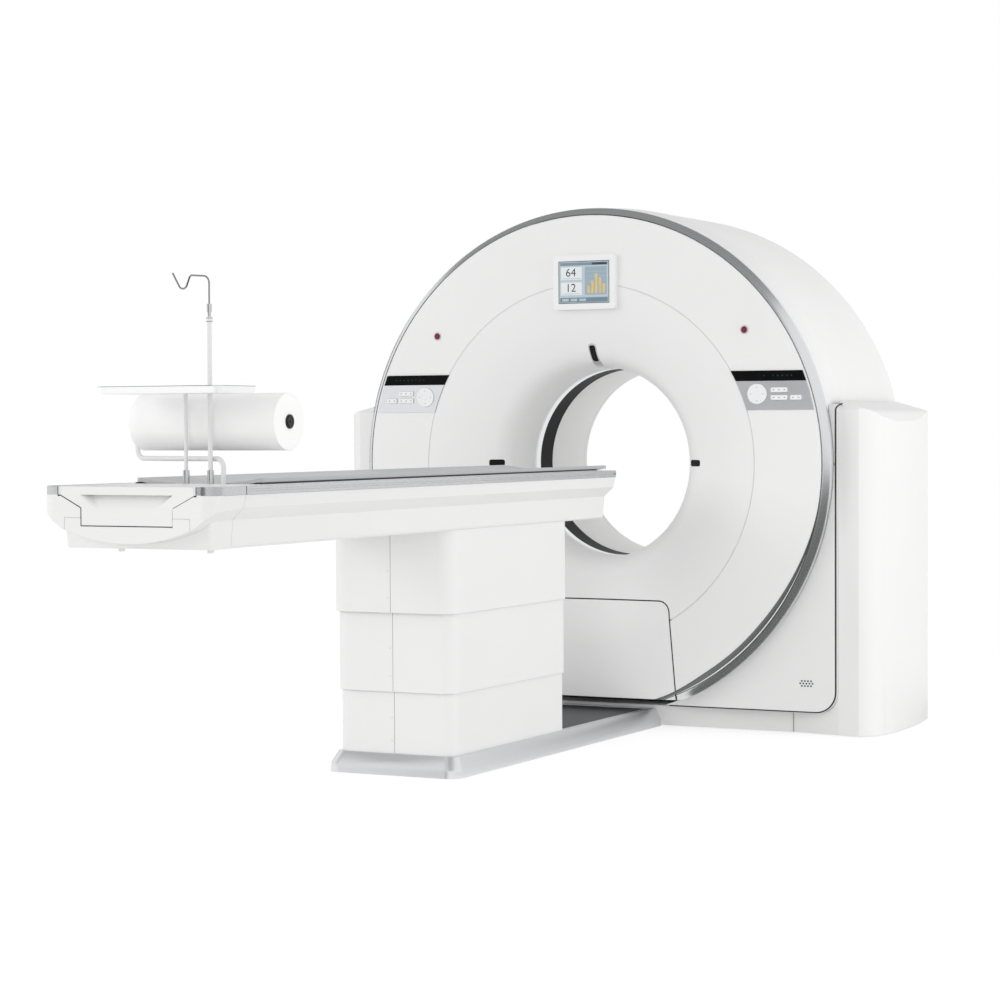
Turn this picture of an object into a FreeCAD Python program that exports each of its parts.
"""Whole-body CT scanner: ring gantry with a 700 mm bore, and a lifting patient table.

Frame: origin on the floor straight below the isocentre, +Y along the bore from the table's
side to the rear, +Z up, millimetres.
"""
import FreeCAD, Part
import os
import re
import Sketcher
from math import sin, sqrt, tan
from FreeCAD import Vector

os.makedirs("parts", exist_ok=True)
doc = FreeCAD.newDocument("ct_scanner")

# ---------------------------------------------------------------- driving dimensions
SIZES = [
    # gantry covers, all radii about the bore's axis, depths before and behind the scan plane
    ("iso_z", 960, "height of the bore's axis"),
    ("bore_r", 350, "patient bore"),
    ("front_y", 379, "plane of the seam between the face and the funnel, before the scan plane"),
    ("face_r", 900, "outer radius of the face"),
    ("seam_r", 652, "radius of the seam between the face and the funnel"),
    ("face_fall", 6.5, "how far the face falls back from the seam to its rim"),
    ("funnel_d", 156, "depth of the funnel from the seam to the bore's edge"),
    ("cover_t", 6, "thickness of the moulded covers"),
    ("cover_low", 110, "height at which the gantry's face and housing end"),
    ("seam_gap", 3, "open seam between two covers"),
    ("lip", 20, "depth of a cover's turned-in edge"),
    ("trim_run", 37, "depth of the metal trim ring"),
    ("trim_rise", 27, "how much wider than the face the trim ring is at its back"),
    ("trim_bulge", 110, "radius of the trim ring's rounded section"),
    ("shell_r", 936, "outer radius of the housing"),
    ("shell_front_r", 908, "radius of the housing just behind the trim ring"),
    ("shell_taper", 132, "length over which the housing widens"),
    ("shell_rear", 400, "where the housing starts to round in at the rear"),
    ("rear_round", 60, "radius of the housing's rear edge"),
    ("rear_y", 478, "rear edge of the rear funnel, behind the scan plane"),
    ("rear_bore", 344, "rear end of the straight bore"),
    ("window_half", 77, "half the length of the scan window"),
    ("window_t", 4, "thickness of the scan window"),
    ("bore_trim_w", 8, "length of the metal ring before the window"),
    # service door
    ("door_top", 465, "height of the service door's top edge"),
    ("door_top_w", 641, "width of the door at its top"),
    ("door_low_w", 713, "width of the door's outline at the floor"),
    ("door_corner", 42, "radius of the door's top corners"),
    # screen
    ("bezel_w", 247, "width of the screen's bezel"),
    ("bezel_h", 197, "height of the screen's bezel"),
    ("bezel_mid_z", 1616, "height of the bezel's centre"),
    ("bezel_front", 397, "front face of the bezel, before the scan plane"),
    ("bezel_d", 34, "depth of the bezel's housing"),
    ("bezel_corner", 12, "radius of the bezel's corners"),
    ("screen_w", 203, "width of the screen"),
    ("screen_h", 154, "height of the screen"),
    ("screen_t", 4, "thickness of the screen's glass"),
    # control panels, each a sector of the face
    ("panel_in_r", 652, "inner radius of a control panel"),
    ("panel_out_r", 892, "outer radius of a control panel"),
    ("panel_low", 1149, "height of the panel's bottom edge"),
    ("strip_low", 1251, "height at which the dark display strip starts"),
    ("panel_top", 1287, "height of the strip's top edge"),
    ("panel_proud", 3, "how far the panel stands out of the face"),
    ("panel_t", 20, "thickness of the panel"),
    ("pad_x", 664, "distance of the round pad from the middle"),
    ("pad_z", 1205, "height of the round pad"),
    ("pad_r", 36, "radius of the round pad"),
    ("key_h", 17, "height of a key bar"),
    ("key_w", 61, "width of a long key bar"),
    ("key_short_w", 41, "width of the short key bar"),
    ("key_x", 746, "distance of the long key bars from the middle"),
    ("key_short_x", 808, "distance of the short key bar from the middle"),
    ("key_top_z", 1219, "height of the upper key bar"),
    ("key_low_z", 1192, "height of the lower key bars"),
    ("key_round", 3, "radius of the key bars' corners"),
    ("key_proud", 5, "how far a key or pad stands out"),
    ("key_d", 13, "length of a key or pad along its travel"),
    ("pocket_d", 12, "depth of the pocket behind the panel's face"),
    ("slack", 0.6, "gap round a moving key or button"),
    ("stop_x", 614, "distance of the round stop button from the middle"),
    ("stop_z", 1432, "height of the stop button"),
    ("stop_r", 14.5, "radius of the stop button"),
    ("stop_d", 30, "length of the stop button"),
    ("stop_proud", 9, "how far the stop button stands out"),
    # laser windows
    ("laser_w", 15, "width of a laser window"),
    ("laser_in_r", 366, "inner end of a laser window"),
    ("laser_out_r", 424, "outer end of a laser window"),
    ("laser_t", 1, "how far a laser window stands out"),
    # corner panels and towers
    ("corner_y", 300, "front plane of the corner panels, before the scan plane"),
    ("corner_low", 84, "height of the corner panels' bottom edge"),
    ("line_x", 925, "distance of the dark line beside the tower"),
    ("line_gap", 7, "width of the dark line"),
    ("line_round", 72, "radius of the line's lower corner"),
    ("corner_t", 14, "thickness of a corner panel"),
    ("grille_x", 816, "distance of the speaker holes from the middle"),
    ("grille_z", 183, "height of the speaker holes"),
    ("grille_hole_r", 2.6, "radius of a speaker hole"),
    ("grille_pitch", 11.5, "distance between the speaker holes of a row"),
    ("grille_row", 8.7, "distance between the rows of speaker holes"),
    ("tower_front", 285, "front of a tower, before the scan plane"),
    ("tower_rear", 372, "rear of a tower, behind the scan plane"),
    ("tower_x", 1082, "distance of the tower's bulged side"),
    ("tower_rear_x", 1046, "distance of the tower's side at its rear"),
    ("tower_edge_x", 1004, "distance at which the front's corner starts"),
    ("tower_low", 4, "height of the tower's bottom edge"),
    ("tower_side_z", 1135, "height of the tower's outer top edge"),
    ("tower_top_z", 1180, "height of the tower's inner top edge"),
    ("tower_brow", 1150, "height at which the tower's front leans back"),
    ("tower_bevel", 32, "width of the bevel along the tower's outer top edge"),
    ("tower_t", 7, "thickness of the tower's cover"),
    ("tower_wall_x", 936, "how far out the rear wall joins the tower"),
    ("wall_in", 330, "inner end of the tower's rear wall"),
    # plinth
    ("plinth_y", 251, "front of the plinth, before the scan plane"),
    ("plinth_x", 750, "half the width of the plinth"),
    ("plinth_h", 76, "height of the plinth's cover"),
    ("plinth_t", 6, "thickness of the plinth's cover"),
    ("plinth_d", 120, "depth of the plinth's cover"),
    ("plinth_foot", 4, "gap under the plinth's cover"),
    ("foot_strip_d", 60, "depth of the strip that joins a tower to the plinth"),
    ("foot_strip_h", 78, "height of that strip"),
    # frame and rotating part
    ("base_h", 66, "height of the steel base"),
    ("base_x", 960, "half the width of the steel base"),
    ("plate_y", 212, "front of the stationary plate, behind the scan plane"),
    ("plate_t", 36, "thickness of the stationary plate"),
    ("plate_r", 868, "radius of the stationary plate"),
    ("web_half", 340, "half the width of the web under the stationary plate"),
    ("rib_x", 608, "distance of the base's ribs from the middle"),
    ("rib_t", 30, "thickness of a rib"),
    ("race_in_r", 400, "radius of the main bearing's running gap"),
    ("race_out_r", 470, "outer radius of the main bearing"),
    ("race_d", 38, "length of the main bearing"),
    ("run_gap", 0.6, "running gap round the rotating part"),
    ("drum_in_r", 374, "inner radius of the rotating drum"),
    ("disc_y", 100, "front of the rotating disc, behind the scan plane"),
    ("disc_t", 26, "thickness of the rotating disc"),
    ("disc_r", 838, "radius of the rotating disc"),
    ("belt_r", 560, "radius of the drum's belt rim"),
    ("belt_t", 5, "thickness of the drive belt"),
    ("belt_w", 24, "width of the drive belt"),
    ("pulley_r", 66, "radius of the motor's pulley"),
    ("pulley_x", 536, "distance of the motor's shaft from the middle"),
    ("pulley_z", 424, "height of the motor's shaft"),
    ("shaft_r", 16, "radius of the motor's shaft"),
    ("motor_r", 82, "radius of the drive motor"),
    ("motor_d", 132, "length of the drive motor"),
    ("slip_r", 456, "outer radius of the slip ring"),
    ("slip_w", 36, "length of the slip ring"),
    ("tube_r", 98, "radius of the tube's housing"),
    ("tube_at", 650, "radius at which the tube sits"),
    ("tube_half", 150, "how far the tube reaches before the scan plane"),
    ("port_w", 120, "width of the beam's collimator box"),
    ("port_low", 470, "radius at which the collimator box ends"),
    ("det_in_r", 520, "inner radius of the detector"),
    ("det_out_r", 600, "outer radius of the detector"),
    ("det_angle", 56, "angle that the detector covers"),
    ("det_half", 80, "half the length of the detector"),
    # table base and column
    ("foot_y", 1843, "front end of the table's base, before the scan plane"),
    ("foot_w", 474, "width of the base on the floor"),
    ("foot_top_w", 428, "width of the base's top"),
    ("foot_in", 24, "how far the base's front slopes in"),
    ("foot_h", 66, "height of the base"),
    ("foot_round", 46, "radius of the base's front corners"),
    ("tread_t", 4, "thickness of the dark mat on the base"),
    ("col_y", 1813, "front of the lowest cover, before the scan plane"),
    ("col_l", 799, "length of the lowest cover"),
    ("col_w", 414, "width of the lowest cover"),
    ("col_round", 42, "radius of the column covers' front corners"),
    ("col_round_rear", 12, "radius of the column covers' rear corners"),
    ("col_t", 3, "thickness of the column covers"),
    ("col_step", 6.5, "how much further out each cover's side lies than the one below"),
    ("col_step_front", 9, "how much further out the middle cover's front lies"),
    ("col_step_rear", 4.5, "how much further out each cover's rear lies"),
    ("col_step_up", 14, "how much further out the upper cover's front lies than the middle's"),
    ("low_top", 292, "top of the lowest cover"),
    ("mid_low", 262, "bottom of the middle cover"),
    ("mid_top", 536, "top of the middle cover"),
    ("up_low", 512, "bottom of the upper cover"),
    ("mast_w", 210, "width of the lifting column's outer tube"),
    ("mast_l", 420, "length of the lifting column's outer tube"),
    ("mast_t", 12, "wall of the lifting column's tubes"),
    ("mast_top", 330, "top of the lifting column's outer tube"),
    ("stage_low", 262, "bottom of the column's middle stage"),
    ("stage_top", 534, "top of the column's middle stage"),
    ("inner_low", 492, "bottom of the column's inner tube"),
    ("slide_gap", 1, "gap between the column's tubes"),
    # table top
    ("top_z", 941, "height of the table top's deck"),
    ("table_low", 774, "height of the table body's underside"),
    ("table_foot", 3256, "foot end of the table, before the scan plane"),
    ("table_head", 740, "head end of the table, before the scan plane"),
    ("cap_l", 150, "length of the foot end's cap"),
    ("rail_x", 281, "distance of the side rails' outer face"),
    ("rail_w", 25, "width of a side rail"),
    ("rail_h", 23, "height of a side rail"),
    ("rail_slot", 6, "height of the groove along a side rail"),
    ("end_round", 46, "radius of the foot end's corners"),
    ("flank_in", 10, "how far the flank slopes in"),
    ("flank_h", 35, "height of the flank below the rail"),
    ("under_in", 44, "how far the body's upper part slopes in below the flank"),
    ("under_low", 90, "depth below the deck where the undercut ends"),
    ("low_in", 51, "how far the body's lower edge lies in"),
    ("body_t", 8, "wall of the table's body"),
    ("trough_w", 372, "width of the trough in the deck"),
    ("trough_d", 23, "depth of the trough"),
    ("chin_low", 788, "lowest point of the foot end's curved chin"),
    ("chin_side", 829, "height of the chin's ends"),
    ("chin_w", 424, "width of the chin"),
    ("cap_low_w", 480, "width of the cap's front where its flank starts"),
    ("cap_low_z", 848, "height at which the cap's flank starts at the front"),
    ("cap_break_w", 544, "width at the break of the cap's flank at the front"),
    ("cap_break_z", 872, "height of that break"),
    ("tongue_w", 294, "width of the handle panel's lower part"),
    ("tongue_low", 835, "lower edge of the handle panel"),
    ("tongue_mid", 884, "height at which the handle panel widens"),
    ("tongue_top_w", 430, "width of the handle panel's top"),
    ("grip_w", 298, "width of the finger recess under the lip"),
    ("grip_d", 28, "depth of the finger recess"),
    ("grip_h", 41, "height of the finger recess"),
    ("grip_low_w", 184, "width of the recess at its bottom"),
    ("grip_low_d", 4, "depth of the recess at its bottom"),
    ("groove_x", 201, "distance of the cap's upright groove from the middle"),
    ("groove_z", 857, "height of the cap's level groove"),
    ("groove_w", 1.6, "width of the cap's grooves"),
    ("knob_x", 145, "distance of the knobs under the body from the middle"),
    ("knob_y", 3073, "place of the knobs, before the scan plane"),
    ("knob_r", 9, "radius of a knob"),
    ("knob_h", 15, "height of a knob"),
    ("panel_line", 2, "open line round the handle panel"),
    # cradle
    ("cradle_w", 420, "width of the cradle"),
    ("cradle_foot", 2911, "foot end of the cradle, before the scan plane"),
    ("cradle_head", 632, "head end of the cradle, before the scan plane"),
    ("cradle_top", 957, "height of the cradle's edges"),
    ("cradle_dip", 18, "how far the cradle's surface dips in the middle"),
    ("cradle_edge", 12, "thickness of the cradle at its edges"),
    ("cradle_mid_t", 14, "thickness of the cradle in the middle"),
    ("cradle_edge_w", 22, "width of the cradle's flat underside at its edge"),
    ("strip_w", 18, "width of a glide strip"),
    ("strip_gap", 0.4, "gap between a glide strip and the cradle"),
    # accessories on the foot end
    ("set_x", 9, "middle of the two posts, right of the table's middle"),
    ("set_y", 2925, "line of the posts, before the scan plane"),
    ("post_gap", 80, "distance between the two posts"),
    ("post_r", 6.5, "radius of the drip pole"),
    ("tray_post_r", 5.5, "radius of the tray's post"),
    ("sleeve_r", 9.5, "radius of a post's sleeve"),
    ("sleeve_h", 38, "height of a post's sleeve"),
    ("tray_z", 1189, "height of the tray's underside"),
    ("tray_w", 405, "width of the tray"),
    ("tray_x", -7.5, "middle of the tray, right of the table's middle"),
    ("tray_l", 200, "length of the tray"),
    ("tray_h", 20, "height of the tray's rim"),
    ("tray_t", 1.5, "thickness of the tray's sheet"),
    ("tray_rear", 20, "how far the tray reaches behind the posts"),
    ("tray_corner", 22, "radius of the tray's corners"),
    ("pole_bore", 5, "bore of the drip pole's tube"),
    ("collar_z", 1386, "height of the drip pole's clamp collar"),
    ("collar_h", 14, "height of the clamp collar"),
    ("collar_r", 9, "radius of the clamp collar"),
    ("rod_low", 980, "lower end of the inner tube"),
    ("ferrule_z", 1413, "lower edge of the hook's ferrule"),
    ("ferrule_h", 23, "height of the ferrule"),
    ("hook_r", 2.5, "radius of the hook's wire"),
    ("hook_top", 1512, "height of the hook's bend"),
    ("roll_r", 80, "radius of the paper roll"),
    ("roll_w", 480, "length of the paper roll"),
    ("roll_z", 1112, "height of the paper roll's axis"),
    ("roll_y", 2822, "the paper roll's axis, before the scan plane"),
    ("roll_hole", 20, "radius of the hole through the roll's core"),
    ("hub_r", 19.7, "radius of the hub that carries the roll"),
    ("holder_r", 7, "radius of the roll holder's tube"),
    ("holder_x", 87, "where the holder stands, right of the table's middle"),
    ("holder_back", 7, "how far behind the line of the posts the holder stands"),
    ("holder_z", 1010, "height of the holder's level stretch"),
]

sheet = doc.addObject("Spreadsheet::Sheet", "Sheet")
for row, (alias, value, note) in enumerate(SIZES, start=1):
    sheet.set(f"A{row}", str(value))
    sheet.setAlias(f"A{row}", alias)
    sheet.set(f"B{row}", note)
doc.recompute()

ALIASES = "|".join(sorted((row[0] for row in SIZES), key=len, reverse=True))
WORD = re.compile(rf"(?<![.\w])({ALIASES})(?!\w)")


def bound(text):
    """The formula as the document reads it, with each size taken from the sheet."""
    return WORD.sub(r"Sheet.\1", str(text))


def size(text):
    """The value of a formula of the sheet's sizes."""
    value = sheet.evalExpression(bound(text))
    return float(getattr(value, "Value", value))


# ---------------------------------------------------------------- tools for building
def neg(text):
    return f"-({text})"


def origin_plane(body, role):
    return next(f for f in body.Origin.OriginFeatures if f.Role == role)


def pin_point(sketch, geometry, vertex, x, y):
    """Hold one vertex at two formulas from the sketch's origin."""
    for kind, text in (("DistanceX", x), ("DistanceY", y)):
        number = sketch.addConstraint(
            Sketcher.Constraint(kind, -1, 1, geometry, vertex, size(text)))
        sketch.setExpression(f"Constraints[{number}]", bound(text))


def arc_between(start, end, radius, turn):
    """Arc of under a half circle; turn is +1 when it bends to the left."""
    chord = end - start
    middle = (start + end) * 0.5
    across = Vector(-chord.y, chord.x, 0).normalize()
    centre = middle + across * (turn * sqrt(max(radius ** 2 - (chord.Length / 2) ** 2, 0)))
    bulge = middle - across * (turn * (radius - (middle - centre).Length))
    return Part.ArcOfCircle(start, bulge, end)


def draw_loop(sketch, loop):
    """One closed outline. A corner is (x, y), (x, y, corner radius) or
    (x, y, arc radius, turn), whose arc comes from the corner before."""
    spots = [Vector(size(c[0]), size(c[1]), 0) for c in loop]
    count = len(loop)
    entry, leave = list(spots), list(spots)
    for i, corner in enumerate(loop):
        if len(corner) != 3:
            continue
        back = (spots[i - 1] - spots[i]).normalize()
        ahead = (spots[(i + 1) % count] - spots[i]).normalize()
        half = back.getAngle(ahead) / 2
        reach = size(corner[2]) / tan(half)
        entry[i], leave[i] = spots[i] + back * reach, spots[i] + ahead * reach
    sides, joints = [], []
    for i, corner in enumerate(loop):
        start, end = leave[i - 1], entry[i]
        if len(corner) == 4:
            curve = arc_between(start, end, size(corner[2]), corner[3])
            number = sketch.addGeometry(curve)
            ends = (1, 2) if corner[3] > 0 else (2, 1)
            radius = sketch.addConstraint(
                Sketcher.Constraint("Radius", number, size(corner[2])))
            sketch.setExpression(f"Constraints[{radius}]", bound(corner[2]))
        else:
            number = sketch.addGeometry(Part.LineSegment(start, end))
            ends = (1, 2)
        sides.append((number, ends))
    for i, corner in enumerate(loop):
        here, (start_v, end_v) = sides[i]
        after, (next_v, _) = sides[(i + 1) % count]
        if len(corner) != 3:
            sketch.addConstraint(
                Sketcher.Constraint("Coincident", here, end_v, after, next_v))
            pin_point(sketch, here, end_v, corner[0], corner[1])
            continue
        back = (entry[i] - spots[i])
        ahead = (leave[i] - spots[i])
        turn = 1 if (-back).cross(ahead).z > 0 else -1
        arc = sketch.addGeometry(arc_between(entry[i], leave[i], size(corner[2]), turn))
        arc_in, arc_out = (1, 2) if turn > 0 else (2, 1)
        sketch.addConstraint(Sketcher.Constraint("Tangent", here, end_v, arc, arc_in))
        sketch.addConstraint(Sketcher.Constraint("Tangent", arc, arc_out, after, next_v))
        number = sketch.addConstraint(Sketcher.Constraint("Radius", arc, size(corner[2])))
        sketch.setExpression(f"Constraints[{number}]", bound(corner[2]))
        mark = sketch.addGeometry(Part.Point(spots[i]), True)
        pin_point(sketch, mark, 1, corner[0], corner[1])
        sketch.addConstraint(Sketcher.Constraint("PointOnObject", mark, 1, here))
        sketch.addConstraint(Sketcher.Constraint("PointOnObject", mark, 1, after))


def draw_circle(sketch, x, y, radius):
    number = sketch.addGeometry(
        Part.Circle(Vector(size(x), size(y), 0), Vector(0, 0, 1), size(radius)))
    pin_point(sketch, number, 3, x, y)
    bind = sketch.addConstraint(Sketcher.Constraint("Radius", number, size(radius)))
    sketch.setExpression(f"Constraints[{bind}]", bound(radius))


def outline(body, role, loops):
    """Sketch on one of the body's origin planes; a loop of three texts is a circle."""
    sketch = body.newObject("Sketcher::SketchObject", f"{body.Name}_outline")
    sketch.AttachmentSupport = (origin_plane(body, role), [""])
    sketch.MapMode = "FlatFace"
    for loop in loops:
        if isinstance(loop[0], str):
            draw_circle(sketch, *loop)
        else:
            draw_loop(sketch, loop)
    return sketch


def revolved(label, loop, centre=("0", "0", "iso_z"), angle=None):
    """Ring about an axis along Y: the outline's x is the radius and its y lies along Y."""
    body = doc.addObject("PartDesign::Body", label)
    body.Label = label
    sketch = outline(body, "XY_Plane", [loop])
    turn = body.newObject("PartDesign::Revolution", f"{label}_turn")
    turn.Profile = sketch
    turn.ReferenceAxis = (sketch, ["V_Axis"])
    if angle is None:
        turn.Angle = 360
    else:
        turn.setExpression("Angle", bound(angle))
        turn.Midplane = True
    place(body, centre)
    return body


def prism(label, role, loops, low, high):
    """Outline pushed from low to high along the plane's own axis."""
    body = doc.addObject("PartDesign::Body", label)
    body.Label = label
    sketch = outline(body, role, loops)
    push = body.newObject("PartDesign::Pad", f"{label}_push")
    push.Profile = sketch
    push.setExpression("Length", bound(f"({high})-({low})"))
    axis, start = {"XY_Plane": ("z", low), "XZ_Plane": ("y", high),
                   "YZ_Plane": ("x", low)}[role]
    body.setExpression(f"Placement.Base.{axis}", bound(start))
    return body


def place(thing, spot):
    for axis, text in zip("xyz", spot):
        thing.setExpression(f"Placement.Base.{axis}", bound(text))


def box(label, low, high):
    """Box between two corners, each three formulas."""
    solid = doc.addObject("Part::Box", label)
    solid.Label = label
    for side, a, b in zip(("Length", "Width", "Height"), low, high):
        solid.setExpression(side, bound(f"({b})-({a})"))
    place(solid, low)
    return solid


def cylinder(label, radius, length, spot, along="z"):
    solid = doc.addObject("Part::Cylinder", label)
    solid.Label = label
    solid.setExpression("Radius", bound(radius))
    solid.setExpression("Height", bound(length))
    axis, angle = {"z": (Vector(0, 0, 1), 0), "y": (Vector(1, 0, 0), -90),
                   "x": (Vector(0, 1, 0), 90)}[along]
    solid.Placement.Rotation = FreeCAD.Rotation(axis, angle)
    place(solid, spot)
    return solid


def cut(label, base, *tools):
    for number, tool in enumerate(tools):
        last = number == len(tools) - 1
        step = doc.addObject("Part::Cut", label if last else f"{label}_cut_{number}")
        step.Base, step.Tool = base, tool
        base = step
    base.Label = label
    return base


def fused(label, *pieces):
    whole = doc.addObject("Part::MultiFuse", label)
    whole.Shapes = list(pieces)
    whole.Refine = True
    whole.Label = label
    return whole


def common(label, *pieces):
    shared = doc.addObject("Part::MultiCommon", label)
    shared.Shapes = list(pieces)
    shared.Label = label
    return shared


def group(label, *pieces):
    """Like pieces that stay separate solids in one node."""
    whole = doc.addObject("Part::Compound", label)
    whole.Links = list(pieces)
    whole.Label = label
    return whole


def shaped(label, shape):
    part = doc.addObject("Part::Feature", label)
    part.Shape = shape
    part.Label = label
    return part


def both_sides(right):
    """A closed outline from its right half, listed from the lowest middle point up."""
    left = [(neg(c[0]),) + tuple(c[1:2]) + tuple(c[2:3]) for c in reversed(right)]
    return list(right) + [c for c in left if abs(size(c[0])) > 1e-6]


NODES = []


def node(part):
    """Count a finished object as one of the scanner's pieces."""
    NODES.append(part)
    return part


SIDES = (("left", "-1"), ("right", "1"))

# ---------------------------------------------------------------- gantry face and funnel
# The face is a shallow cone that falls back from a round seam to its rim; inside the seam
# the funnel runs to the bore in two arcs that meet tangent, like a quarter of an oval.
SEAM_Y = "-front_y"
RIM_Y = "-front_y+face_fall"
BORE_Y = "-front_y+funnel_d"
OVAL_A, OVAL_B = "(seam_r-bore_r)", "funnel_d"
DIAGONAL = f"sqrt({OVAL_A}^2+{OVAL_B}^2)"
TIGHT_R = f"(({DIAGONAL}^2-({OVAL_A}-{OVAL_B})*{DIAGONAL})/(2*{OVAL_A}))"
WIDE_R = f"(({DIAGONAL}^2+({OVAL_A}-{OVAL_B})*{DIAGONAL})/(2*{OVAL_B}))"
MEET_R = f"(bore_r+{TIGHT_R}-{TIGHT_R}*({OVAL_A}-{TIGHT_R})/({WIDE_R}-{TIGHT_R}))"
MEET_Y = f"({BORE_Y}-{TIGHT_R}*({WIDE_R}-{OVAL_B})/({WIDE_R}-{TIGHT_R}))"
LINER_R = "bore_r+window_t+cover_t/2"


def face_y(radius):
    """Where the face's front surface lies at a radius."""
    return f"({SEAM_Y}+face_fall*(({radius})-seam_r)/(face_r-seam_r))"


def funnel_loop(out="0"):
    """Section of the funnel; out moves its front surface forward."""
    return [
        (f"bore_r-({out})", f"{BORE_Y}"),
        (f"{MEET_R}-({out})*0.46", f"{MEET_Y}-({out})*0.89", f"{TIGHT_R}+({out})", 1),
        (f"seam_r-seam_gap/2", f"{SEAM_Y}-({out})+0.01", f"{WIDE_R}+({out})", 1),
        ("seam_r-seam_gap/2", f"{SEAM_Y}+cover_t+2"),
        (f"({MEET_R}+seam_r)/2", f"({MEET_Y}+{SEAM_Y})/2+cover_t"),
        (f"{MEET_R}+cover_t", f"{MEET_Y}+cover_t+2"),
        (LINER_R, f"{BORE_Y}"),
        (LINER_R, "-window_half-bore_trim_w"),
        ("bore_r", "-window_half-bore_trim_w"),
    ]


FACE_LOOP = [
    ("seam_r+seam_gap/2", f"{SEAM_Y}"),
    ("face_r-1", RIM_Y),
    ("face_r-1", f"{RIM_Y}+lip"),
    ("face_r-1-cover_t", f"{RIM_Y}+lip"),
    ("face_r-1-cover_t", f"{RIM_Y}+cover_t"),
    ("seam_r+seam_gap/2+cover_t", f"{SEAM_Y}+cover_t"),
    ("seam_r+seam_gap/2+cover_t", f"{SEAM_Y}+lip"),
    ("seam_r+seam_gap/2", f"{SEAM_Y}+lip"),
]

face_ring = revolved("face_ring", FACE_LOOP)
funnel_ring = revolved("funnel_ring", funnel_loop())
below_covers = box("below_covers", ("-shell_r-10", "-front_y-20", "-200"),
                   ("shell_r+10", "rear_y+20", "cover_low"))
below_covers_again = box("below_covers_again", ("-shell_r-10", "-front_y-20", "-200"),
                         ("shell_r+10", "rear_y+20", "cover_low"))


def door_outline(grow):
    half_top = f"door_top_w/2+({grow})"
    half_low = f"door_low_w/2+({grow})"
    corner = f"door_corner+({grow})"
    return [(half_low, "0"), (half_top, f"door_top+({grow})", corner),
            (neg(half_top), f"door_top+({grow})", corner), (neg(half_low), "0")]


door_hole = prism("door_hole", "XZ_Plane", [door_outline("seam_gap/2")],
                  "-front_y-20", "-window_half-bore_trim_w-20")
door_shape = prism("door_shape", "XZ_Plane", [door_outline("-seam_gap/2")],
                   "-front_y-20", "-window_half-bore_trim_w-20")

# the screen's bezel stands across the seam, so the face and the funnel are cut for it
BEZEL_LOOP = [
    (f"{sx}bezel_w/2", f"bezel_mid_z{sz}bezel_h/2", "bezel_corner")
    for sx, sz in (("", "-"), ("", "+"), ("-", "+"), ("-", "-"))]
bezel_block = prism("bezel_block", "XZ_Plane", [BEZEL_LOOP], "-bezel_front", "-bezel_front+bezel_d")
bezel_hole = prism("bezel_hole", "XZ_Plane", [BEZEL_LOOP], "-front_y-20", "-window_half")


def sector(label, low, high, front, back):
    """Band of the face between two radii and two heights, on both sides."""
    ring = revolved(f"{label}_ring", [
        ("panel_in_r", f"{face_y('panel_in_r')}-({front})"),
        ("panel_out_r", f"{face_y('panel_out_r')}-({front})"),
        ("panel_out_r", f"{face_y('panel_out_r')}+({back})"),
        ("panel_in_r", f"{face_y('panel_in_r')}+({back})")])
    slab = box(f"{label}_slab", ("-face_r", "-front_y-60", low), ("face_r", "-front_y+90", high))
    return common(label, ring, slab)


panel_hole = sector("panel_hole", "panel_low", "panel_top", "20", "60")
stop_holes = [cylinder(f"stop_hole_{side}", "stop_r+slack", "80",
                       (f"{sign}*stop_x", "-front_y-20", "stop_z"), "y")
              for side, sign in SIDES]
front_cover = node(cut("front_cover", face_ring, door_hole, bezel_hole, panel_hole,
                       *stop_holes, below_covers))
bore_funnel = node(cut("bore_funnel", funnel_ring, door_hole, bezel_hole))

# the service door is the lower piece of the same surface, funnel recess and all
door_skin = revolved("door_skin", [
    (MEET_R, MEET_Y),
    ("seam_r", f"{SEAM_Y}", WIDE_R, 1),
    ("face_r-1", RIM_Y),
    ("face_r-1", f"{RIM_Y}+cover_t"),
    ("seam_r", f"{SEAM_Y}+cover_t+2"),
    (f"({MEET_R}+seam_r)/2", f"({MEET_Y}+{SEAM_Y})/2+cover_t"),
    (f"{MEET_R}+cover_t", f"{MEET_Y}+cover_t+2")])
service_door = node(cut("service_door", common("door_piece", door_skin, door_shape),
                        below_covers_again))

# ---------------------------------------------------------------- screen
bezel_pocket = box("bezel_pocket",
                   ("-screen_w/2", "-bezel_front-1", "bezel_mid_z-screen_h/2"),
                   ("screen_w/2", "-bezel_front+screen_t", "bezel_mid_z+screen_h/2"))
screen_bezel = node(cut("screen_bezel", bezel_block, bezel_pocket))
screen = node(box("screen",
                  ("-screen_w/2+0.2", "-bezel_front+0.6", "bezel_mid_z-screen_h/2+0.2"),
                  ("screen_w/2-0.2", "-bezel_front+screen_t", "bezel_mid_z+screen_h/2-0.2")))

# ---------------------------------------------------------------- control panels
PANEL_KEYS = (
    ("key_upper", "key_x", "key_top_z", "key_w"),
    ("key_lower", "key_x", "key_low_z", "key_w"),
    ("key_outer", "key_short_x", "key_low_z", "key_short_w"),
)


def panel_y(x, z):
    """Front surface of the panel at a place on it."""
    return f"({face_y(f'sqrt(({x})^2+(({z})-iso_z)^2)')}-panel_proud)"


def key_outline(x, z, width, grow):
    across, up = f"(({width})/2+({grow}))", f"(key_h/2+({grow}))"
    return [(f"({x})+{across}", f"({z})-{up}", "key_round"),
            (f"({x})+{across}", f"({z})+{up}", "key_round"),
            (f"({x})-{across}", f"({z})+{up}", "key_round"),
            (f"({x})-{across}", f"({z})-{up}", "key_round")]


panel_band = sector("panel_band", "panel_low", "strip_low-0.5", "panel_proud", "panel_t")
strip_band = sector("strip_band", "strip_low", "panel_top", "panel_proud", "panel_t")
node(strip_band).Label = "panel_displays"

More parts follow.
